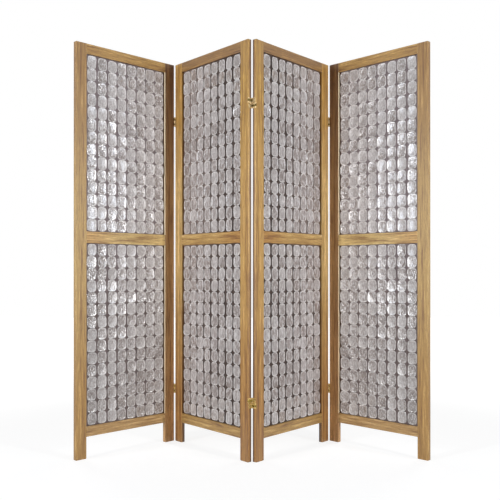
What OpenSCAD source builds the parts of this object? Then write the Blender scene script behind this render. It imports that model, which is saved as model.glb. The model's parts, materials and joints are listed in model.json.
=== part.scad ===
// Four-panel folding screen: wooden frames, shell tiles bonded to both faces of
// thin backing boards, and two-way strap hinges of brass between the panels.
// The origin is on the floor, under the middle of the standing screen.
// +X runs along the screen to the right, +Y away from the front, +Z up.

/* [Panels] */
// Height of a panel, from the floor to its top edge
panel_h = 1700; // [1400:10:2000]
// Width of one panel
panel_w = 510; // [420:5:600]
// Thickness of the frame's stiles and rails
frame_t = 16; // [14:0.5:24]
// Width of a stile's front face
stile_w = 51; // [42:1:70]
// Height of the top rail
top_rail_h = 42; // [36:1:60]
// Height of the middle rail
mid_rail_h = 48; // [36:1:60]
// Height of the bottom rail
bottom_rail_h = 42; // [36:1:60]
// Height of the legs below the bottom rail
leg_h = 89; // [60:1:140]
// Height of the middle rail's lower edge above the floor
mid_rail_z = 882; // [780:2:960]
// Rounding of the long edges of stiles and rails
edge_round = 1; // [0.5:0.25:2]
// Rounding of a stile's corners at its foot and at the panel's upper corner
end_round = 4; // [1:0.5:6]

/* [Frame joints] */
// Length of a rail's tenon
tenon_len = 30; // [20:1:38]
// Thickness of a tenon
tenon_t = 6; // [4:0.5:8]
// Shoulder of a rail above and below its tenon
tenon_shoulder = 9; // [8:0.5:12]
// Gap round a tenon in its mortise
tenon_gap = 0.1; // [0.05:0.05:0.2]

/* [Backing boards] */
// Thickness of a backing board
board_t = 3; // [2:0.5:4]
// Distance from the frame's front face to the board
board_setback = 9; // [5:0.25:9.5]
// Depth of the groove that holds a board's edge
groove_d = 6; // [4:0.5:7]
// Gap at a board's edge in the groove
board_edge_gap = 0.3; // [0.2:0.1:0.6]
// Gap at each face of a board in the groove
board_face_gap = 0.1; // [0.05:0.05:0.2]

/* [Shell tiles] */
// Number of columns of tiles across an opening
shell_cols = 8; // [4:1:12]
// Number of rows in the upper opening
upper_rows = 14; // [8:1:18]
// Number of rows in the lower opening
lower_rows = 15; // [8:1:18]
// Thickness of a tile
shell_t = 1; // [0.6:0.1:1.5]
// Gap between tiles side by side
shell_side_gap = 3.2; // [2:0.2:6]
// Gap between tiles one above the other
shell_row_gap = 1; // [0.6:0.2:3]
// Rounding of the corners of the tiles on the front
shell_corner_r = 15; // [8:0.5:18]
// Radius of the bowed edges of the tiles on the back
shell_bow_r = 90; // [70:5:200]
// Bare edge of the board beside the field of tiles
field_side_margin = 5; // [2:0.5:12]
// Bare edge of the board above and below the field
field_end_margin = 2; // [1:0.5:8]

/* [Standing pose] */
// Angle between an inner panel and the screen's length
inner_turn = 49.4; // [30:0.2:70]
// Angle between an outer panel and the screen's length
outer_turn = 45; // [30:1:70]

/* [Hinges] */
// Gap between two panels that lie in one line
panel_gap = 3.8; // [3.6:0.1:7]
// Distance of a hinge pin's centre in front of or behind the frame's face
pin_proud = 2; // [2:0.05:4]
// Height of a hinge
hinge_h = 42; // [34:1:60]
// Height of the upper hinge's middle above the floor
upper_hinge_z = 1443; // [1200:1:1500]
// Height of the lower hinge's middle above the floor
lower_hinge_z = 237; // [150:1:400]
// Radius of a knuckle
knuckle_r = 2.75; // [2.3:0.05:2.85]
// Radius of a hinge pin
pin_r = 1.25; // [0.9:0.05:1.6]
// Gap between a pin and its knuckle
pin_gap = 0.05; // [0.02:0.01:0.08]
// Height of a strap's own knuckle
strap_knuckle_h = 8; // [5:0.5:12]
// Gap between knuckles on one pin
knuckle_gap = 0.4; // [0.3:0.05:0.6]
// Thickness of a hinge leaf
leaf_t = 1; // [0.8:0.1:1.1]
// Thickness of a strap
strap_t = 1; // [0.6:0.1:1.2]
// Bare edge of the stile beside a leaf
leaf_inset = 1; // [0.6:0.1:3]

/* [Screws] */
// Radius of a screw's shank
screw_r = 1.25; // [1:0.05:1.5]
// Radius of a screw's countersunk head
screw_head_r = 2.4; // [2:0.1:3]
// Length of a screw below the leaf
screw_len = 12; // [8:1:20]
// Gap round a screw in the leaf and the wood
screw_gap = 0.1; // [0.05:0.05:0.2]
// Distance of a screw from the hinge's middle
screw_offset = 12; // [9:0.5:14]

/* [Hidden] */
$fn = 48;
panels = [1, 2, 3, 4];
folds = [1, 2, 3];
edge_cut = 1; // how far a cutter runs past the face it cuts
slot_w = 0.5; // a screw's driving slot
slot_d = 0.5;
screw_tip = 3;

panel_pieces = [
    "stile_left", "stile_right", "top_rail", "mid_rail", "bottom_rail",
    "upper_board", "lower_board", "shells_front", "shells_back"
];
fold_pieces = [
    "leaf_left", "leaf_right", "strap_upper", "strap_lower",
    "pins_left", "pins_right", "screws_left", "screws_right"
];

// Openings between the rails
opening_w = panel_w - 2 * stile_w;
bottom_rail_top = leg_h + bottom_rail_h;
mid_rail_top = mid_rail_z + mid_rail_h;
top_rail_z = panel_h - top_rail_h;
lower_opening_h = mid_rail_z - bottom_rail_top;
upper_opening_h = top_rail_z - mid_rail_top;
board_mid_y = board_setback + board_t / 2;
groove_w = board_t + 2 * board_face_gap;
board_overhang = groove_d - board_edge_gap;

// Tiles, worked out from the openings
shell_pitch_x = (opening_w - 2 * field_side_margin) / shell_cols;
upper_pitch_z = (upper_opening_h - 2 * field_end_margin) / upper_rows;
lower_pitch_z = (lower_opening_h - 2 * field_end_margin) / lower_rows;
shell_w = shell_pitch_x - shell_side_gap;
least_gap = 0.4; // tiles never come closer than this
side_play = (shell_side_gap - least_gap) / 2;
row_play = (shell_row_gap - least_gap) / 2;

// Hinges: two rows of pins, one before the front face and one behind the back
pin_rows = frame_t + 2 * pin_proud;
pin_x = panel_gap / 2;
knuckle_bore_r = pin_r + pin_gap;
half_h = (hinge_h - knuckle_gap) / 2;
leaf_knuckle_h = (half_h - strap_knuckle_h - 2 * knuckle_gap) / 2;
leaf_w = frame_t - 2 * leaf_inset;
strap_start = (knuckle_r + knuckle_bore_r) / 2; // a strap's plate starts inside its knuckle's wall
hinge_heights = [lower_hinge_z, upper_hinge_z];
screw_heights = [-screw_offset, screw_offset];
countersink_d = leaf_t;

// Places of the fold lines on the floor, before the screen is centred
outer_fold_x = -(panel_w + panel_gap) * cos(inner_turn) - pin_rows * sin(inner_turn);
outer_fold_y = (panel_w + panel_gap) * sin(inner_turn) - pin_rows * cos(inner_turn);
near_reach = -pin_rows * cos(inner_turn) - knuckle_r;
far_reach = outer_fold_y + pin_rows * cos(outer_turn) + knuckle_r;
centre_y = (near_reach + far_reach) / 2;

echo(fold_1 = [outer_fold_x, outer_fold_y - centre_y], fold_2 = [0, -centre_y]);

// A bar along Z with its four long edges rounded
module bar(w, t, h, r) {
    linear_extrude(h) rounded_profile(w, t, r);
}

module rounded_profile(w, h, r) {
    translate([r, 0]) square([w - 2 * r, h]);
    translate([0, r]) square([w, h - 2 * r]);
    for (x = [r, w - r], y = [r, h - r])
        translate([x, y]) circle(r);
}

// Cutter for the boards' groove along one edge of an opening
module groove(length) {
    translate([0, board_mid_y - groove_w / 2, -groove_d])
        cube([length, groove_w, groove_d + edge_cut]);
}

// Tenon on a rail's left end, or with a gap the mortise that takes it
module tenon(rail_h, gap) {
    translate([-tenon_len - gap, frame_t / 2 - tenon_t / 2 - gap, tenon_shoulder - gap])
        cube([tenon_len + gap + edge_cut, tenon_t + 2 * gap, rail_h - 2 * tenon_shoulder + 2 * gap]);
}

// A stile seen from the front, square only where the top rail meets it
module stile_outline() {
    rounded_profile(stile_w, panel_h, end_round);
    translate([stile_w / 2, panel_h / 2]) square([stile_w / 2, panel_h / 2]);
}

// The stile on a panel's left, its inner edge at x = stile_w
module stile_blank() {
    difference() {
        intersection() {
            bar(stile_w, frame_t, panel_h, edge_round);
            translate([0, frame_t + edge_cut, 0]) rotate([90, 0, 0])
                linear_extrude(frame_t + 2 * edge_cut) stile_outline();
        }
        translate([stile_w, 0, 0]) {
            translate([0, 0, leg_h]) tenon(bottom_rail_h, tenon_gap);
            translate([0, 0, mid_rail_z]) tenon(mid_rail_h, tenon_gap);
            translate([0, 0, top_rail_z]) tenon(top_rail_h, tenon_gap);
        }
        translate([stile_w, 0, top_rail_z + groove_d]) rotate([0, 90, 0])
            groove(top_rail_z - bottom_rail_top + 2 * groove_d);
    }
}

// Pilot holes for the screws of both hinges, in the stile's outer edge at x = 0
module pilot_holes() {
    for (z = hinge_heights, dz = screw_heights)
        translate([-edge_cut, frame_t / 2, z + dz]) rotate([0, 90, 0])
            cylinder(r = screw_r + screw_gap, h = screw_len + screw_gap + edge_cut);
}

module stile(hinged) {
    color("tan") difference() {
        stile_blank();
        if (hinged) pilot_holes();
    }
}

// Mirror of what is drawn for a panel's left edge onto its right edge
module on_right_edge() {
    translate([panel_w, 0, 0]) mirror([1, 0, 0]) children();
}

// A rail between the stiles, grooved where an opening meets it
module rail(h, z, groove_above, groove_below) {
    color("peru") translate([stile_w, 0, z]) difference() {
        union() {
            rotate([90, 0, 90]) linear_extrude(opening_w) rounded_profile(frame_t, h, edge_round);
            tenon(h, 0);
            translate([opening_w, 0, 0]) mirror([1, 0, 0]) tenon(h, 0);
        }
        if (groove_above) translate([0, 0, h]) groove(opening_w);
        if (groove_below) mirror([0, 0, 1]) groove(opening_w);
    }
}

// A backing board whose edges lie in the grooves
module board(z, h) {
    color("saddlebrown") translate([stile_w - board_overhang, board_setback, z - board_overhang])
        cube([opening_w + 2 * board_overhang, board_t, h + 2 * board_overhang]);
}

// Outlines of a tile, centred on its place
module rounded_tile(w, h) {
    corner = min(shell_corner_r, w / 2 - edge_cut, h / 2 - edge_cut);
    translate([-w / 2, -h / 2]) rounded_profile(w, h, corner);
}

module bowed_tile(w, h) {
    intersection_for(side = [-1, 1]) intersection() {
        translate([side * (shell_bow_r - w / 2), 0]) circle(shell_bow_r, $fn = 240);
        translate([0, side * (shell_bow_r - h / 2)]) circle(shell_bow_r, $fn = 240);
    }
}

// The tiles of one opening, each a little off the grid and with its back on y = 0
module shell_field(z, rows, pitch_z, seed, bowed) {
    drift_x = rands(-side_play, side_play, rows * shell_cols, seed);
    drift_z = rands(-row_play, row_play, rows * shell_cols, seed + 1);
    for (row = [0 : rows - 1], col = [0 : shell_cols - 1]) {
        k = row * shell_cols + col;
        x = stile_w + field_side_margin + (col + 0.5) * shell_pitch_x + drift_x[k];
        dz = field_end_margin + (row + 0.5) * pitch_z + drift_z[k];
        translate([x, 0, z + dz]) rotate([90, 0, 0]) linear_extrude(shell_t)
            if (bowed) bowed_tile(shell_w, pitch_z - shell_row_gap);
            else rounded_tile(shell_w, pitch_z - shell_row_gap);
    }
}

module shell_fields(seed, bowed) {
    color("gainsboro") {
        shell_field(bottom_rail_top, lower_rows, lower_pitch_z, seed, bowed);
        shell_field(mid_rail_top, upper_rows, upper_pitch_z, seed + 2, bowed);
    }
}

module shells_front(seed) {
    translate([0, board_setback, 0]) shell_fields(seed, false);
}

module shells_back(seed) {
    translate([panel_w, board_setback + board_t, 0]) rotate(180) shell_fields(seed, true);
}

// Hinges are drawn for the panel on a fold's left: its edge at x = 0, its front face
// at y = 0, and the hinge's middle at z = 0. The front pin row is at y = -pin_proud.
front_row_y = -pin_proud;
back_row_y = frame_t + pin_proud;

module knuckle(y, z, h) {
    translate([pin_x, y, z]) difference() {
        cylinder(r = knuckle_r, h = h);
        translate([0, 0, -edge_cut]) cylinder(r = knuckle_bore_r, h = h + 2 * edge_cut);
    }
}

// A leaf's two knuckles on one row, with the tabs that join them to its plate
module leaf_knuckles(y, z) {
    tab_end = y < 0 ? y : leaf_inset + leaf_w - edge_cut;
    tab_len = pin_proud + leaf_inset + edge_cut;
    for (dz = [0, half_h - leaf_knuckle_h]) difference() {
        union() {
            translate([pin_x, y, z + dz]) cylinder(r = knuckle_r, h = leaf_knuckle_h);
            translate([0, tab_end, z + dz]) cube([leaf_t, tab_len, leaf_knuckle_h]);
        }
        translate([pin_x, y, z + dz - edge_cut])
            cylinder(r = knuckle_bore_r, h = leaf_knuckle_h + 2 * edge_cut);
    }
}

module screw_places() {
    for (dz = screw_heights)
        translate([0, frame_t / 2, dz]) rotate([0, 90, 0]) children();
}

// A leaf with knuckles on the front row above its middle and on the back row below
module leaf() {
    color("goldenrod") difference() {
        union() {
            translate([0, leaf_inset, -hinge_h / 2]) cube([leaf_t, leaf_w, hinge_h]);
            leaf_knuckles(front_row_y, knuckle_gap / 2);
            leaf_knuckles(back_row_y, -hinge_h / 2);
        }
        screw_places() {
            translate([0, 0, -edge_cut]) cylinder(r = screw_r + screw_gap, h = leaf_t + 2 * edge_cut);
            cylinder(r1 = screw_r + screw_gap, r2 = screw_head_r + screw_gap, h = countersink_d);
        }
    }
}

// A strap links a front pin with a back pin, its lower edge at height z
module strap(z) {
    color("goldenrod") {
        knuckle(front_row_y, z, strap_knuckle_h);
        knuckle(back_row_y, z, strap_knuckle_h);
        translate([pin_x - strap_t / 2, front_row_y + strap_start, z])
            cube([strap_t, pin_rows - 2 * strap_start, strap_knuckle_h]);
    }
}

module pin(y, z) {
    translate([pin_x, y, z]) cylinder(r = pin_r, h = half_h);
}

// The pins that the left leaf holds
module pins() {
    color("darkgoldenrod") {
        pin(front_row_y, knuckle_gap / 2);
        pin(back_row_y, -hinge_h / 2);
    }
}

// A countersunk screw, its head flush with the leaf
module screws() {
    color("gold") screw_places() difference() {
        union() {
            cylinder(r1 = screw_r, r2 = screw_head_r, h = countersink_d);
            translate([0, 0, screw_tip - screw_len]) cylinder(r = screw_r, h = screw_len - screw_tip);
            translate([0, 0, -screw_len]) cylinder(r1 = 0.2, r2 = screw_r, h = screw_tip);
        }
        translate([-screw_head_r - edge_cut, -slot_w / 2, countersink_d - slot_d])
            cube([2 * (screw_head_r + edge_cut), slot_w, slot_d + edge_cut]);
    }
}

// Both hinges of a fold, in the frame of the panel on its left
module at_hinges() {
    for (z = hinge_heights) translate([panel_w, 0, z]) children();
}

// The same for the panel on the fold's right: turned half a turn about Y, so that its
// knuckles lie above where the left leaf has them below, and the other way round
module for_right_panel() {
    translate([panel_gap, 0, 0]) rotate([0, 180, 0]) children();
}

// Places of the panels in the standing screen
module place_panel(i) {
    translate([0, -centre_y, 0]) {
        if (i == 1) translate([outer_fold_x, outer_fold_y, 0]) rotate(outer_turn)
            translate([-panel_w - pin_x, pin_proud, 0]) children();
        if (i == 2) rotate(-inner_turn)
            translate([-panel_w - pin_x, -frame_t - pin_proud, 0]) children();
        if (i == 3) rotate(inner_turn)
            translate([pin_x, -frame_t - pin_proud, 0]) children();
        if (i == 4) translate([-outer_fold_x, outer_fold_y, 0]) rotate(-outer_turn)
            translate([pin_x, pin_proud, 0]) children();
    }
}

// What rides on the panel to a fold's right, drawn in the frame of the panel on its left
module place_right_of(k) {
    place_panel(k + 1) translate([-panel_w - panel_gap, 0, 0]) children();
}

module panel_piece(i, piece) {
    seed = 100 * i;
    place_panel(i) {
        if (piece == "stile_left") stile(i > 1);
        if (piece == "stile_right") on_right_edge() stile(i < 4);
        if (piece == "top_rail") rail(top_rail_h, top_rail_z, false, true);
        if (piece == "mid_rail") rail(mid_rail_h, mid_rail_z, true, true);
        if (piece == "bottom_rail") rail(bottom_rail_h, leg_h, true, false);
        if (piece == "upper_board") board(mid_rail_top, upper_opening_h);
        if (piece == "lower_board") board(bottom_rail_top, lower_opening_h);
        if (piece == "shells_front") shells_front(seed);
        if (piece == "shells_back") shells_back(seed + 10);
    }
}

upper_strap_z = knuckle_gap / 2 + leaf_knuckle_h + knuckle_gap;
lower_strap_z = -hinge_h / 2 + leaf_knuckle_h + knuckle_gap;

// The middle fold turns on its back pins and the others on their front pins. A strap lies
// along the panel whose leaf holds its pin in the row that stays still.
module fold_piece(k, piece) {
    upper_strap_left = k == 2;
    if (piece == "leaf_left") place_panel(k) at_hinges() leaf();
    if (piece == "leaf_right") place_right_of(k) at_hinges() for_right_panel() leaf();
    if (piece == "pins_left") place_panel(k) at_hinges() pins();
    if (piece == "pins_right") place_right_of(k) at_hinges() for_right_panel() pins();
    if (piece == "screws_left") place_panel(k) at_hinges() screws();
    if (piece == "screws_right") place_right_of(k) at_hinges() for_right_panel() screws();
    if (piece == "strap_upper") {
        if (upper_strap_left) place_panel(k) at_hinges() strap(upper_strap_z);
        else place_right_of(k) at_hinges() strap(upper_strap_z);
    }
    if (piece == "strap_lower") {
        if (upper_strap_left) place_right_of(k) at_hinges() strap(lower_strap_z);
        else place_panel(k) at_hinges() strap(lower_strap_z);
    }
}

for (i = panels) for (piece = panel_pieces)
    panel_piece(i, piece);
for (k = folds) for (piece = fold_pieces)
    fold_piece(k, piece);
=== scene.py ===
# Looks of the folding screen: stained wood, dished shell tiles on dark boards, and brass hinges.
# Metres, with +X along the screen, +Y away from its front and +Z up, as in the part.
import json
import math

import bpy
import numpy as np
from mathutils import Matrix, Vector


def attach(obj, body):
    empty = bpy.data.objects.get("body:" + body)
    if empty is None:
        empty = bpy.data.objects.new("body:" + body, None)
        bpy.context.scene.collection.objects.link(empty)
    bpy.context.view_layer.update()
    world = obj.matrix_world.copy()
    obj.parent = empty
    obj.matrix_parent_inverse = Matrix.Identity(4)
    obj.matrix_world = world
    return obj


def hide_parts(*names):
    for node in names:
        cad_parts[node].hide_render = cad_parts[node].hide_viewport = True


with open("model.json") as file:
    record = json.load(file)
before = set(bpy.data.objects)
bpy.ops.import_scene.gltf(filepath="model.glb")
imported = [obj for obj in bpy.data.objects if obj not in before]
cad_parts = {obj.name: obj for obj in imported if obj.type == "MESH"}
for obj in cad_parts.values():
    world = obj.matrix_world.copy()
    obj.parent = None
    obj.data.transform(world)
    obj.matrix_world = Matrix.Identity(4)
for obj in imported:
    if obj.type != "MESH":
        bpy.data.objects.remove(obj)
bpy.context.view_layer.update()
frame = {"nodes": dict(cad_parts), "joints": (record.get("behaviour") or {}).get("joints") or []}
nodes = frame["nodes"]

# Measurements of the panels, as in the part
PANEL_W = 0.510
PANEL_H = 1.700
FRAME_T = 0.016
STILE_W = 0.051
PIN_X = 0.0019  # from a panel's edge to the pins beside it
PIN_PROUD = 0.0020
INNER_TURN = 49.4
OUTER_TURN = 45
BOARD_FRONT = 0.009  # behind the frame's front face
BOARD_BACK = 0.012
SHELL_COLS = 8
FIELD_SIDE_MARGIN = 0.005
LOWER_FIELD = (0.133, 0.880, 15)  # lower edge, upper edge, rows
UPPER_FIELD = (0.932, 1.656, 14)
PANELS = (1, 2, 3, 4)
OUTER_PANELS = (1, 4)
VALLEY_ON_RIGHT = (1, 3)  # the others have the fold that lies back on their left
MIRRORED = {3: 2, 4: 1}  # the right half mirrors the left, grain and tiles too
FOLDS = (1, 2, 3)
STILES = ("stile_left", "stile_right")
RAILS = ("top_rail", "mid_rail", "bottom_rail")

fold_at = {joint["name"]: Vector(joint["pos_m"]) for joint in frame["joints"]}
TURNS = {1: OUTER_TURN, 2: -INNER_TURN, 3: INNER_TURN, 4: -OUTER_TURN}
to_left_of_pins = Vector((-PANEL_W - PIN_X, 0, 0))
to_right_of_pins = Vector((PIN_X, 0, 0))
behind_pins = Vector((0, PIN_PROUD, 0))
before_pins = Vector((0, -FRAME_T - PIN_PROUD, 0))
CORNERS = {
    1: ("fold_1", to_left_of_pins + behind_pins),
    2: ("fold_2", to_left_of_pins + before_pins),
    3: ("fold_2", to_right_of_pins + before_pins),
    4: ("fold_3", to_right_of_pins + behind_pins),
}


def panel_place(panel):
    """The matrix from a panel's own frame (lower left front corner) to the standing screen."""
    fold, corner = CORNERS[panel]
    turn = Matrix.Rotation(math.radians(TURNS[panel]), 4, "Z")
    return Matrix.Translation(fold_at[fold]) @ turn @ Matrix.Translation(corner)


# Shader maths

class Value:
    """A socket that can be added, multiplied and so on, each time with a Math node."""

    def __init__(self, shade, socket):
        self.shade = shade
        self.socket = socket

    def math(self, operation, *others):
        return self.shade.node("Math", {"operation": operation}, dict(enumerate((self, *others))))

    def __add__(self, other):
        return self.math("ADD", other)

    def __radd__(self, other):
        return self.math("ADD", other)

    def __sub__(self, other):
        return self.math("SUBTRACT", other)

    def __rsub__(self, other):
        return self.shade.node("Math", {"operation": "SUBTRACT"}, {0: other, 1: self})

    def __mul__(self, other):
        return self.math("MULTIPLY", other)

    def ramp(self, low, high):
        """0 below low, 1 above high, and smooth between them."""
        settings = {"interpolation_type": "SMOOTHSTEP"}
        return self.shade.node("MapRange", settings, {"Value": self, "From Min": low, "From Max": high})


class Shade:
    """One material, or the world, under construction."""

    def __init__(self, name, kind="materials"):
        self.material = getattr(bpy.data, kind).new(name)
        self.material.use_nodes = True
        self.tree = self.material.node_tree
        self.tree.nodes.clear()

    def node(self, kind, settings=None, sockets=None, output=0):
        """One node with its settings and inputs. Its output comes back as a Value."""
        made = self.tree.nodes.new("ShaderNode" + kind)
        for key, value in (settings or {}).items():
            if key == "stops":
                self.set_stops(made.color_ramp, value)
            else:
                setattr(made, key, value)
        for key, value in (sockets or {}).items():
            if isinstance(value, Value):
                self.tree.links.new(value.socket, made.inputs[key])
            else:
                made.inputs[key].default_value = value
        return Value(self, made.outputs[output]) if len(made.outputs) else made

    def set_stops(self, ramp, stops):
        while len(ramp.elements) < len(stops):
            ramp.elements.new(0.5)
        for element, (position, colour) in zip(ramp.elements, stops):
            element.position = position
            element.color = (*colour, 1)

    def part(self, vector, axis):
        return self.node("SeparateXYZ", None, {0: vector}, axis)

    def moved(self, vector, way):
        return self.node("VectorMath", {"operation": "ADD"}, {0: vector, 1: way})

    def stretch(self, vector, scale):
        return self.node("VectorMath", {"operation": "MULTIPLY"}, {0: vector, 1: scale})

    def noise(self, vector, scale, detail=2.0, roughness=0.5):
        """Noise with so many lumps per metre along each axis."""
        return self.node("TexNoise", None, {
            "Vector": self.stretch(vector, scale),
            "Scale": 1.0,
            "Detail": detail,
            "Roughness": roughness,
        })

    def mix(self, factor, first, second, blend="MIX"):
        settings = {"data_type": "RGBA", "blend_type": blend}
        return self.node("Mix", settings, {0: factor, 6: rgba(first), 7: rgba(second)}, 2)

    def tinted(self, colour, tint, share=1.0):
        return self.mix(share, colour, tint, "MULTIPLY")

    def bump(self, height, strength, distance, **sockets):
        return self.node("Bump", None, {
            "Height": height, "Strength": strength, "Distance": distance, **sockets})

    def finish(self, surface, output="OutputMaterial"):
        self.node(output, None, {"Surface": surface})
        return self.material

    def principled(self, **sockets):
        named = {key.replace("_", " "): value for key, value in sockets.items()}
        return self.finish(self.node("BsdfPrincipled", None, named))


def rgba(colour):
    return colour if isinstance(colour, Value) else (*colour, 1)


def turned_to(shade, panel, vector):
    """A vector of the standing screen in a panel's own directions: width, depth and height."""
    return shade.node("VectorRotate", {"rotation_type": "Z_AXIS"}, {
        "Vector": vector, "Angle": math.radians(-TURNS[panel])})


def in_panel(shade, panel, seed=0.0):
    """Coordinates along a panel's width, depth and height, moved on by a seed."""
    place = turned_to(shade, panel, shade.node("TexCoord", output="Object"))
    if panel in MIRRORED:
        place = shade.stretch(place, (-1, 1, 1))
    return shade.moved(place, (seed, seed / 2, seed / 3))


def to_valley(shade, panel):
    """Metres from the middle of a panel's width towards the fold that lies back."""
    left = MIRRORED.get(panel, panel)
    middle = panel_place(left).inverted().translation.x - PANEL_W / 2
    side = 1 if left in VALLEY_ON_RIGHT else -1
    return (shade.part(in_panel(shade, panel), "X") + middle) * side


def share_to_valley(shade, panel):
    """0 at a panel's free edge or the middle fold, and 1 at the fold that lies back."""
    return to_valley(shade, panel) * (1 / PANEL_W) + 0.5


# Wood

WOOD_DARK = (0.190, 0.088, 0.022)
WOOD_MID = (0.375, 0.217, 0.060)
WOOD_LIGHT = (0.620, 0.405, 0.150)
WOOD_STOPS = [(0.40, WOOD_DARK), (0.480, WOOD_MID), (0.530, WOOD_MID), (0.61, WOOD_LIGHT)]
END_GRAIN = (0.180, 0.100, 0.040)
PORE = (0.150, 0.078, 0.028)
# Paler eased edges: partly wear, partly a painted highlight
WORN_AND_HIGHLIGHT_EDGE = (0.700, 0.470, 0.190)
# Painted shade deep on the inner panels' narrow faces, and under the rails
PAINTED_SHADE_SIDE = (0.085, 0.042, 0.026)
SHADE_DEPTH_RUN = (0.0070, 0.0100)  # depths behind the front face, where the painted shade on the narrow faces starts
# Pale narrow faces of the outer panels: partly bare wood, partly a painted highlight that fades lower
# down
BARE_AND_LIT_SIDE = (0.950, 0.800, 0.550)
PALE_SIDE_RUN = (0.070, 0.078)  # shares of the height, where the pale sides start above the legs
# Painted shade on the narrow face at the outer panels' free edge
FREE_EDGE_SHADE = (0.76, 0.74, 0.70)
FREE_EDGE_RUN = (0.02, 0.06)  # shares of the width, where that painted shade ends
EASED_EDGE = 0.0028
GRAIN = {  # lumps per metre across the grain, along it on stiles and along it on rails
    "figure": (52, 1.1, 2.6),
    "lines": (150, 7.0, 10.0),
    "flecks": (400, 45, 45),
    "fibre": (900, 16, 16),
    "pores": (1500, 70, 70),
}


def with_sides(shade, panel, upright, colour, up, across):
    """A piece's colour, changed on its narrow faces by pale wood and painted light and shade, on a
    stile's ends, and under a rail by painted shade.
    """
    facing = turned_to(shade, panel, shade.node("TexCoord", output="Normal"))
    sideways = shade.part(facing, "X").math("ABSOLUTE").ramp(0.5, 0.9)
    if panel in OUTER_PANELS:
        inside = across.ramp(*FREE_EDGE_RUN)
        # Pale as bare wood, and paler higher up: partly the wood, partly a painted highlight
        bare_and_lit = (0.65 + up.ramp(0.1, 0.6) * 0.35) * inside * up.ramp(*PALE_SIDE_RUN)
        colour = shade.mix(sideways * bare_and_lit, colour, BARE_AND_LIT_SIDE)
        # Painted shade on the narrow face at the free edge
        colour = shade.tinted(colour, FREE_EDGE_SHADE, sideways * (1 - inside))
    else:
        # Painted shade on the back part of the narrow faces, deep in the folds
        depth = shade.part(in_panel(shade, panel), "Y") + panel_place(panel).inverted().translation.y
        colour = shade.mix(sideways * depth.ramp(*SHADE_DEPTH_RUN) * 0.90, colour, PAINTED_SHADE_SIDE)
    if upright:
        upwards = shade.part(facing, "Z").math("ABSOLUTE")
        return shade.mix(upwards.ramp(0.6, 0.9), colour, END_GRAIN)
    # Painted shade under the rails
    downwards = shade.part(facing, "Z") * -1
    return shade.mix(downwards.ramp(0.5, 0.9) * 0.85, colour, PAINTED_SHADE_SIDE)


def stained_wood(name, panel, upright, seed, tints):
    """Satin lacquered wood. Its grain runs up the stiles and along the rails.

    The tints are those at the lower end, in the middle and at the upper end of a stile, or those
    from a rail's end by the middle fold or free edge to its other end, with painted light and shade.
    """
    shade = Shade(name)
    place = in_panel(shade, panel, seed)

    def grain(kind, detail=2.0, roughness=0.5):
        across, up_stiles, along_rails = GRAIN[kind]
        scale = (across, across, up_stiles) if upright else (along_rails, across, across)
        return shade.noise(place, scale, detail, roughness)

    figure = grain("figure")
    lines = grain("lines", 3.0, 0.7)
    flecks = grain("flecks").ramp(0.56, 0.70)
    fibre = grain("fibre")
    pores = grain("pores", 1.0).ramp(0.58, 0.66)
    tone = figure * 0.33 + lines * 0.53 + fibre * 0.14
    colour = shade.node("ValToRGB", {"stops": WOOD_STOPS}, {"Fac": tone})
    up = shade.part(in_panel(shade, panel), "Z") * (1 / PANEL_H)
    across = share_to_valley(shade, panel)
    run = up if upright else across
    low, middle, high = tints
    tint = shade.mix(run.ramp(0.10, 0.50), low, middle)
    tint = shade.mix(run.ramp(0.55, 0.95), tint, high)
    colour = shade.tinted(colour, tint)
    colour = shade.mix(flecks * 0.30, colour, PORE)
    colour = shade.mix(pores * 0.45, colour, PORE)
    colour = with_sides(shade, panel, upright, colour, up, across)

    # Paler and glossier where the eased edge turns away from the flat face: partly wear, partly a
    # painted highlight
    eased = shade.node("Bevel", {"samples": 8}, {"Radius": EASED_EDGE})
    flat = shade.node("NewGeometry", output="Normal")
    sameness = shade.node("VectorMath", {"operation": "DOT_PRODUCT"}, {0: eased, 1: flat}, "Value")
    wear_and_highlight = (1 - sameness).ramp(0.01, 0.16)
    colour = shade.mix(wear_and_highlight * 0.26, colour, WORN_AND_HIGHLIGHT_EDGE)

    height = lines * 0.4 + fibre * 0.6 - pores * 0.8
    return shade.principled(
        Base_Color=colour,
        Roughness=0.40 + lines * 0.16 - wear_and_highlight * 0.22,
        IOR=1.50,
        Coat_Weight=0.30,
        Coat_Roughness=0.36,
        Normal=shade.bump(height, 0.35, 0.0004, Normal=eased),
    )


# Boards

MAUVE_SHEEN_BOARD = ((0.125, 0.097, 0.099), (0.300, 0.246, 0.250))  # dark and pale, on the outer panels: the brown board with a painted sheen
BROWN_BOARD = ((0.044, 0.030, 0.025), (0.090, 0.066, 0.058))
PAINTED_LIGHT_BOARD = (0.220, 0.168, 0.148)
# Painted shadow on the board along the stile by the valley fold
BOARD_SHADOW_BY_FOLD = (0.075, 0.034, 0.020)
SHADOW_BY_FOLD_RUN = (0.1965, 0.1985)  # metres from the middle of the width, where the painted shadow starts
LOWER_BOARD_TINT = (0.68, 0.65, 0.61)  # of the outer panels: less painted sheen on the lower boards
AS_IT_IS = (1.0, 1.0, 1.0)
MID_HEIGHT_RUN = (0.55, 1.00)  # heights between the lower boards' look and the upper boards'


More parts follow.
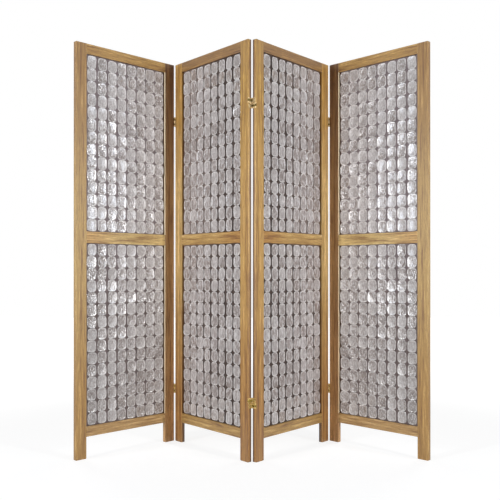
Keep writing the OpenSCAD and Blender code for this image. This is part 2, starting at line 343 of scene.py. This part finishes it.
def stained_board(panel):
    """The board behind the tiles, dark brown and mottled: a painted sheen makes it mauve on the outer
    panels, painted light makes it paler away from the middle fold on the inner ones, and a painted
    shadow runs along the stile by the valley fold.
    """
    shade = Shade(f"stained_board_{panel}")
    place = shade.node("TexCoord", output="Object")
    cloud = shade.noise(place, (14, 14, 9), 3.0)
    fleck = shade.noise(place, (420, 420, 90))
    upper = shade.part(place, "Z").ramp(*MID_HEIGHT_RUN)
    dark, pale = MAUVE_SHEEN_BOARD if panel in OUTER_PANELS else BROWN_BOARD
    colour = shade.mix(cloud * 0.6 + fleck * 0.4, dark, pale)
    if panel in OUTER_PANELS:
        colour = shade.tinted(colour, shade.mix(upper, LOWER_BOARD_TINT, AS_IT_IS))
    else:
        # Painted light on the inner boards, away from the middle fold and higher up
        from_middle = shade.part(place, "X").math("ABSOLUTE") + cloud * 0.06
        painted_light = from_middle.ramp(0.14, 0.33) * (0.35 + upper * 0.65)
        colour = shade.mix(painted_light, colour, PAINTED_LIGHT_BOARD)
    shadow_by_fold = to_valley(shade, panel).ramp(*SHADOW_BY_FOLD_RUN)
    return shade.principled(
        Base_Color=shade.mix(shadow_by_fold, colour, BOARD_SHADOW_BY_FOLD),
        Roughness=0.55 + fleck * 0.2,
        IOR=1.25,
        Normal=shade.bump(fleck, 0.3, 0.0003),
    )


# Shell

SHELL_BODY = ((0.215, 0.174, 0.158), (0.360, 0.326, 0.318))  # the dullest tile and the palest
SHELL_CLOUD = (0.360, 0.324, 0.315)
SHELL_RIPPLE = (0.660, 0.630, 0.625)
SHELL_THREAD = (0.160, 0.124, 0.110)
SHELL_RIM_AND_HIGHLIGHT = (0.640, 0.605, 0.590)
# Painted light and shade on the tiles: by height on each kind of panel, and across it
OUTER_SHELL_TINTS = ((0.89, 0.89, 0.88), (0.98, 0.98, 0.98))  # in the lower and the upper field, both painted shade
INNER_SHELL_TINTS = ((1.05, 1.05, 1.04), (1.02, 1.02, 1.01))
SHELL_TINTS_ACROSS = ((0.93, 0.93, 0.93), (1.09, 1.08, 1.08))  # away from and by the valley fold: painted shade and painted light


def pearly_shell(panel):
    """Dull pearl with upright ripples, paler along the rim (partly pearl, partly a painted highlight),
    a little different on each tile, with painted light and shade by height and across the panel.
    """
    shade = Shade(f"pearly_shell_{panel}")
    outer = panel in OUTER_PANELS
    rim = shade.node("Attribute", {"attribute_name": "rim"}, None, "Fac")
    # Two random numbers of each tile, and its own place in the noise
    island = shade.node("NewGeometry", output="Random Per Island")
    other = (island * 57.3).math("FRACT")
    own_place = in_panel(shade, panel)
    shift = shade.node("CombineXYZ", None, {0: island * 13.7, 1: other * 9.1, 2: other * 5.3})
    place = shade.moved(own_place, shift)

    ripple = shade.noise(place, (170, 170, 95) if outer else (135, 80, 40), 3.0, 0.6)
    thread = shade.noise(place, (270, 90, 80), 2.0, 0.6)
    cloud = shade.noise(place, (70, 70, 50))
    colour = shade.mix(other, *SHELL_BODY)
    colour = shade.mix(cloud.ramp(0.35, 0.65) * 0.50, colour, SHELL_CLOUD)
    colour = shade.mix(ripple.ramp(0.48, 0.62) * 0.60, colour, SHELL_RIPPLE)
    colour = shade.mix(thread.ramp(0.50, 0.64) * 0.55, colour, SHELL_THREAD)
    # Paler rim: partly the pearl's own edge, partly a painted highlight
    edge = rim.ramp(0.74, 0.90) * cloud.ramp(0.30, 0.60)
    colour = shade.mix(edge * (0.85 if outer else 0.82), colour, SHELL_RIM_AND_HIGHLIGHT)

    # Painted shade and light by height and across the panel
    upper = shade.part(own_place, "Z").ramp(0.60, 1.05)
    tints = OUTER_SHELL_TINTS if outer else INNER_SHELL_TINTS
    colour = shade.tinted(colour, shade.mix(upper, *tints))
    by_valley = share_to_valley(shade, panel).ramp(0.2, 0.8)
    colour = shade.tinted(colour, shade.mix(by_valley, *SHELL_TINTS_ACROSS))
    height = ripple + cloud * 0.8 + thread * 0.35
    return shade.principled(
        Base_Color=colour,
        Roughness=0.11 + ripple * 0.12 + other.ramp(0.30, 0.80) * 0.26,
        IOR=1.90,
        Coat_Weight=0.20 + island * 0.80,
        Coat_Roughness=0.14,
        Normal=shade.bump(height, 1.0, 0.0020),
    )


# Brass

BRASSES = {  # pale, dark, roughness, and the tints of the upper and the lower hinges
    "leaf_brass": (
        (0.70, 0.55, 0.30), (0.26, 0.18, 0.07), 0.30, (0.92, 0.88, 0.90), (1.10, 1.04, 0.82)),
    "strap_brass": (
        (0.38, 0.29, 0.09), (0.040, 0.028, 0.010), 0.30, (0.62, 0.58, 0.62), (1.20, 1.15, 0.90)),
    "pin_brass": ((0.76, 0.68, 0.50), (0.34, 0.27, 0.14), 0.30, AS_IT_IS, AS_IT_IS),
    "screw_brass": ((0.66, 0.54, 0.30), (0.30, 0.22, 0.10), 0.25, AS_IT_IS, AS_IT_IS),
}
BRASS_PIECES = {
    "leaf_brass": ("leaf_left", "leaf_right"),
    "strap_brass": ("strap_upper", "strap_lower"),
    "pin_brass": ("pins_left", "pins_right"),
    "screw_brass": ("screws_left", "screws_right"),
}


def aged_brass(name, pale, dark, roughness, upper_tint, lower_tint):
    """Brass with patina and fine upright scratches."""
    shade = Shade(name)
    place = shade.node("TexCoord", output="Object")
    patina = shade.noise(place, (260, 260, 260), 3.0, 0.6)
    scratch = shade.noise(place, (2400, 2400, 260))
    colour = shade.mix(patina.ramp(0.38, 0.66), dark, pale)
    upper = shade.part(place, "Z").ramp(0.6, 1.1)
    return shade.principled(
        Base_Color=shade.tinted(colour, shade.mix(upper, lower_tint, upper_tint)),
        Metallic=1.0,
        Roughness=roughness + patina * 0.2,
        Normal=shade.bump(patina + scratch * 0.4, 0.2, 0.0002),
    )


# Shell tiles: shallow dishes that touch the board in the middle and stand off it at the rim

ARC_STEPS = 3  # parts of each rounded corner
SHELL_PITCH_X = (PANEL_W - 2 * STILE_W - 2 * FIELD_SIDE_MARGIN) / SHELL_COLS
FIELD_SLACK = 0.001
SHELL_T = 0.0009
HALF_W = 0.0209
HALF_W_SPREAD = 0.00035
WIDER_BY_VALLEY = {1: 0.0022, 2: 0.0018}  # what the half width gains towards the valley fold
WIDENING_RUN = (0.38, 0.74)  # shares of the width, from the free edge or the middle fold
HALF_H = 0.0247
HALF_H_SPREAD = 0.00015
TALLER_ABOVE = 0.0009  # what the half height gains in the upper field
CORNER_RANGE = (0.0105, 0.0150)
BOW_RANGE = (0.0000, 0.0004)
DISH_RANGE = (0.0010, 0.0022)
DISH_POWER = 2.6
LEAN = {"front": 0.032, "back": 0.015}
COMMON_LEAN = 0.06  # of all tiles on the fronts of the outer panels
SPIN = 0.022
LEAST_PROUD = 0.0004
MOST_PROUD = {"front": 0.0068, "back": 0.0033}
BOARD_FACE = {"front": BOARD_FRONT, "back": BOARD_BACK}
OUTWARD = {"front": -1, "back": 1}
# Radius of each ring and its drop below the dish. The last ring lies on the board.
RINGS = ((0.40, 0.0), (0.72, 0.0), (0.92, 0.0), (0.985, 0.0), (1.0, 0.0005), (0.66, 0.0))


def tile_centres(node, panel):
    """Places of a node's tiles in its panel's frame: along the width, and up."""
    mesh = nodes[node].data
    points = np.empty(len(mesh.vertices) * 3)
    mesh.vertices.foreach_get("co", points)
    points = points.reshape(-1, 3)
    back = np.array(panel_place(panel).inverted())
    points = points @ back[:3, :3].T + back[:3, 3]
    across = ((points[:, 0] - STILE_W - FIELD_SIDE_MARGIN) / SHELL_PITCH_X).astype(int)
    centres = []
    for low, high, rows in (LOWER_FIELD, UPPER_FIELD):
        in_field = (points[:, 2] > low - FIELD_SLACK) & (points[:, 2] < high + FIELD_SLACK)
        row = ((points[:, 2] - low) / ((high - low) / rows)).astype(int)
        cols = range(SHELL_COLS)
        for col in reversed(cols) if panel in MIRRORED else cols:
            for up in range(rows):
                own = points[in_field & (across == col) & (row == up)]
                centres.append((own.min(0) + own.max(0)) / 2)
    return np.array(centres)[:, [0, 2]]


def tile_outline(half_w, half_h, corner, bow):
    """Points round many tiles, from the right side's middle and up: arrays of tiles x points."""
    points = []
    for right, top in ((1, 1), (-1, 1), (-1, -1), (1, -1)):
        steps = range(ARC_STEPS + 1)
        if right != top:
            steps = reversed(steps)
        arc = []
        for step in steps:
            angle = math.pi / 2 * step / ARC_STEPS
            x = right * (half_w - corner + corner * math.cos(angle))
            z = top * (half_h - corner + corner * math.sin(angle))
            arc.append((x, z))
        if right == top:
            arc.insert(0, (right * (half_w + bow), 0 * bow))
        else:
            arc.insert(0, (0 * bow, top * (half_h + bow)))
        points += arc
    return np.array(points).transpose(2, 0, 1)


def tile_points(panel, side, centres):
    """Points of many tiles in their panel's frame, as tiles x points x 3, and their radii.

    A mirrored panel draws the same random numbers as the panel that it mirrors.
    """
    count = len(centres)
    left, turn = (MIRRORED[panel], -1) if panel in MIRRORED else (panel, 1)
    rng = np.random.default_rng(100 * left + (side == "back"))
    share = centres[:, 0] / PANEL_W
    nearness = share if panel in VALLEY_ON_RIGHT else 1 - share
    start, end = WIDENING_RUN
    snug = np.clip((nearness - start) / (end - start), 0, 1)
    half_w = rng.normal(HALF_W + WIDER_BY_VALLEY[left] * snug, HALF_W_SPREAD, count)
    half_h = rng.normal(HALF_H, HALF_H_SPREAD, count)
    half_h = half_h + (centres[:, 1] > UPPER_FIELD[0]) * TALLER_ABOVE
    corner = rng.uniform(*CORNER_RANGE, count)
    bow = rng.uniform(*BOW_RANGE, count)
    dish = rng.uniform(*DISH_RANGE, count)
    lean_x, lean_z = rng.normal(0, LEAN[side], (2, count))
    if side == "front" and panel in OUTER_PANELS:
        lean_x += COMMON_LEAN
    spin = rng.normal(0, SPIN, count)

    outline = tile_outline(half_w, half_h, corner, bow)
    around = outline.shape[1]
    lean_x, spin = lean_x * turn, spin * turn
    cos, sin = np.cos(spin)[:, None], np.sin(spin)[:, None]
    turned = np.stack([
        outline[:, :, 0] * cos - outline[:, :, 1] * sin,
        outline[:, :, 0] * sin + outline[:, :, 1] * cos], axis=2)
    plan = np.concatenate(
        [np.zeros((count, 1, 2))] + [turned * radius for radius, _ in RINGS], axis=1)
    radii = np.array([0.0] + [radius for radius, _ in RINGS for _ in range(around)])
    drops = np.array([0.0] + [drop for _, drop in RINGS for _ in range(around)])
    proud = SHELL_T + dish[:, None] * radii ** DISH_POWER
    proud = proud - drops + plan[:, :, 0] * lean_x[:, None] + plan[:, :, 1] * lean_z[:, None]
    proud = np.clip(proud, LEAST_PROUD, MOST_PROUD[side])
    proud[:, -around:] = 0.0
    points = np.stack([
        plan[:, :, 0] + centres[:, None, 0],
        BOARD_FACE[side] + OUTWARD[side] * proud,
        plan[:, :, 1] + centres[:, None, 1]], axis=2)
    return points, radii


def tile_faces(side, count, around):
    """Faces of many tiles: a fan in the middle, bands between the rings, and the underside."""
    faces = [(0, 1 + (j + 1) % around, 1 + j) for j in range(around)]
    for ring in range(len(RINGS) - 1):
        start = 1 + ring * around
        for j in range(around):
            k = (j + 1) % around
            faces.append((start + j, start + k, start + around + k, start + around + j))
    underside = 1 + (len(RINGS) - 1) * around
    faces.append(tuple(range(underside, underside + around)))
    if side == "front":
        faces = [face[::-1] for face in faces]
    per_tile = 1 + len(RINGS) * around
    return [tuple(k * per_tile + point for point in face) for k in range(count) for face in faces]


def shell_tiles(panel, side, material):
    """All tiles on one side of a panel as one mesh that replaces the flat ones."""
    node = f"panel_{panel}_shells_{side}"
    points, radii = tile_points(panel, side, tile_centres(node, panel))
    count = len(points)
    around = (len(radii) - 1) // len(RINGS)
    rim = np.tile(radii, count)
    rim.reshape(count, -1)[:, -around:] = 1.0
    mesh = bpy.data.meshes.new(f"tiles_panel_{panel}_{side}")
    mesh.from_pydata(points.reshape(-1, 3).tolist(), [], tile_faces(side, count, around))
    mesh.transform(panel_place(panel))
    mesh.shade_smooth()
    mesh.attributes.new("rim", "FLOAT", "POINT").data.foreach_set("value", rim)
    tiles = bpy.data.objects.new(mesh.name, mesh)
    bpy.context.scene.collection.objects.link(tiles)
    tiles.data.materials.append(material)
    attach(tiles, f"panel_{panel}")
    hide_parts(node)


# Pieces

# The mid rails' tints turn pale and cool towards the valley fold: a painted sheen
RAIL_TINTS = {
    "top_rail": {"outer": ((1.08, 1.04, 0.94),) * 3, "inner": ((0.64, 0.54, 0.44),) * 3},
    "mid_rail": {
        "outer": ((1.20, 1.16, 1.15), (1.46, 1.71, 2.20), (1.85, 2.27, 3.30)),
        "inner": ((1.04, 0.91, 0.77), (1.17, 1.22, 1.38), (1.42, 1.58, 2.09)),
    },
    "bottom_rail": {"outer": ((1.05, 1.05, 1.26),) * 3, "inner": (AS_IT_IS,) * 3},
}
# Stiles are paler in the middle, a painted sheen; the outer panels' stiles by the valley fold darken
# upwards, painted shade
FREE_STILE = ((0.94, 0.87, 0.76), (1.25, 1.36, 1.53), (0.84, 0.77, 0.74))
VALLEY_STILE_OUT = ((1.46, 1.36, 1.84), (1.13, 1.06, 1.48), (0.61, 0.50, 0.60))
VALLEY_STILE_IN = ((1.02, 0.88, 0.86), (1.37, 1.48, 1.72), (1.19, 1.08, 0.81))
PEAK_STILE = ((0.87, 0.71, 0.58), (1.27, 1.26, 1.25), (1.07, 1.02, 0.75))
STILE_TINTS = {1: (FREE_STILE, VALLEY_STILE_OUT), 2: (VALLEY_STILE_IN, PEAK_STILE)}


def dress(node, material):
    for slot in nodes[node].material_slots:
        slot.material = material


def dress_frame(panel):
    """Wood on the stiles and rails. A mirrored panel takes the seeds of the one that it mirrors."""
    left = MIRRORED.get(panel, panel)
    for k, piece in enumerate(reversed(STILES) if panel in MIRRORED else STILES):
        name = f"panel_{panel}_{piece}"
        seed = 3.1 * left + 1.7 * k
        dress(name, stained_wood(f"wood_{name}", panel, True, seed, STILE_TINTS[left][k]))
    for k, piece in enumerate(RAILS):
        name = f"panel_{panel}_{piece}"
        seed = 2.3 * left + 0.9 * k + 20
        tints = RAIL_TINTS[piece]["outer" if panel in OUTER_PANELS else "inner"]
        dress(name, stained_wood(f"wood_{name}", panel, False, seed, tints))


def dress_boards(panel):
    board = stained_board(panel)
    dress(f"panel_{panel}_upper_board", board)
    dress(f"panel_{panel}_lower_board", board)


def dress_hinges(name):
    brass = aged_brass(name, *BRASSES[name])
    for fold in FOLDS:
        for piece in BRASS_PIECES[name]:
            dress(f"fold_{fold}_{piece}", brass)


for panel in PANELS:
    dress_frame(panel)
shells = {panel: pearly_shell(panel) for panel in PANELS}
for panel in PANELS:
    dress_boards(panel)
    shell_tiles(panel, "front", shells[panel])
    shell_tiles(panel, "back", shells[panel])
for name in BRASSES:
    dress_hinges(name)


# Floor, background, light and camera

FLOOR_HALF = 9.0
FLOOR_LEVEL = 1.2
SHADOW_SHARE = 0.32  # of the floor's own shading in what is seen of it near the screen
SHADOW_RUN = (1.2, 3.4)  # distances between which that fades
FILL_LEVEL = 0.014
SIDES = ((-1, "left"), (1, "right"))
PAIRED_LIGHTS = {  # place on the right, target, width, height, power, colour
    "key": ((2.94, -2.90, 1.30), (0, 0, 1.30), 0.21, 1.6, 100, (0.98, 0.99, 1.0)),
    "side": ((2.5, -1.35, 1.47), (0, 0, 1.3), 0.5, 0.75, 15, (0.78, 0.87, 1.0)),
    "back": ((2.2, 2.6, 1.5), (0, 0, 0.9), 1.2, 1.8, 38, (1.0, 0.99, 0.97)),
}


def seen_directly(shade):
    """1 for rays from the camera, in mirrors and through glass."""
    camera = shade.node("LightPath", output="Is Camera Ray")
    glossy = shade.node("LightPath", output="Is Glossy Ray")
    through = shade.node("LightPath", output="Is Transmission Ray")
    return camera.math("MAXIMUM", glossy).math("MAXIMUM", through)


def pale_floor():
    """White where it is seen directly, with the screen's shadow on the part near it."""
    shade = Shade("pale_floor")
    paint = shade.node("BsdfDiffuse", None, {"Color": (0.84, 0.84, 0.84, 1)})
    white = shade.node("Emission", None, {"Color": (1, 1, 1, 1), "Strength": FLOOR_LEVEL})
    place = shade.node("TexCoord", output="Object")
    reach = shade.node("VectorMath", {"operation": "LENGTH"}, {0: place}, "Value")
    clear = (1 - SHADOW_SHARE) + reach.ramp(*SHADOW_RUN) * SHADOW_SHARE
    share = seen_directly(shade) * clear
    return shade.finish(shade.node("MixShader", None, {0: share, 1: paint, 2: white}))


def studio_world():
    """White where it is seen, and a little cool fill on the object."""
    shade = Shade("studio", "worlds")
    fill = shade.node("Background", None, {"Color": (0.92, 0.95, 1.0, 1), "Strength": FILL_LEVEL})
    white = shade.node("Background", None, {"Color": (1, 1, 1, 1), "Strength": 1.0})
    mixed = shade.node("MixShader", None, {0: seen_directly(shade), 1: fill, 2: white})
    return shade.finish(mixed, "OutputWorld")


def stage_plane(name, points, material):
    mesh = bpy.data.meshes.new(name)
    mesh.from_pydata(points, [], [tuple(range(len(points)))])
    plane = bpy.data.objects.new(name, mesh)
    bpy.context.scene.collection.objects.link(plane)
    plane.data.materials.append(material)


def soft_light(name, place, target, width, height, power, colour):
    light = bpy.data.lights.new(name, "AREA")
    light.shape = "RECTANGLE"
    light.size = width
    light.size_y = height
    light.energy = power
    light.color = colour
    lamp = bpy.data.objects.new(name, light)
    bpy.context.scene.collection.objects.link(lamp)
    lamp.location = place
    lamp.rotation_euler = (Vector(target) - Vector(place)).to_track_quat("-Z", "Y").to_euler()
    lamp.visible_camera = False


floor_corners = [
    (-FLOOR_HALF, -FLOOR_HALF, 0), (FLOOR_HALF, -FLOOR_HALF, 0),
    (FLOOR_HALF, FLOOR_HALF, 0), (-FLOOR_HALF, FLOOR_HALF, 0)]
stage_plane("floor", floor_corners, pale_floor())
bpy.context.scene.world = studio_world()
for side, side_name in SIDES:
    for kind, ((x, y, z), *rest) in PAIRED_LIGHTS.items():
        soft_light(f"{kind}_{side_name}", (side * x, y, z), *rest)
soft_light("low_front", (0, -2.5, 0.30), (0, 0, 0.45), 1.6, 0.3, 5, (1.0, 0.97, 0.93))

camera_data = bpy.data.cameras.new("camera")
camera_data.sensor_width = 36
camera_data.lens = 53.16
camera_data.shift_y = 0.0392
camera = bpy.data.objects.new("camera", camera_data)
bpy.context.scene.collection.objects.link(camera)
camera.location = (-0.0082, -3.1579, 0.7675)
camera.rotation_euler = (math.radians(90.115), 0, 0)
bpy.context.scene.camera = camera
bpy.context.scene.view_settings.view_transform = "Standard"
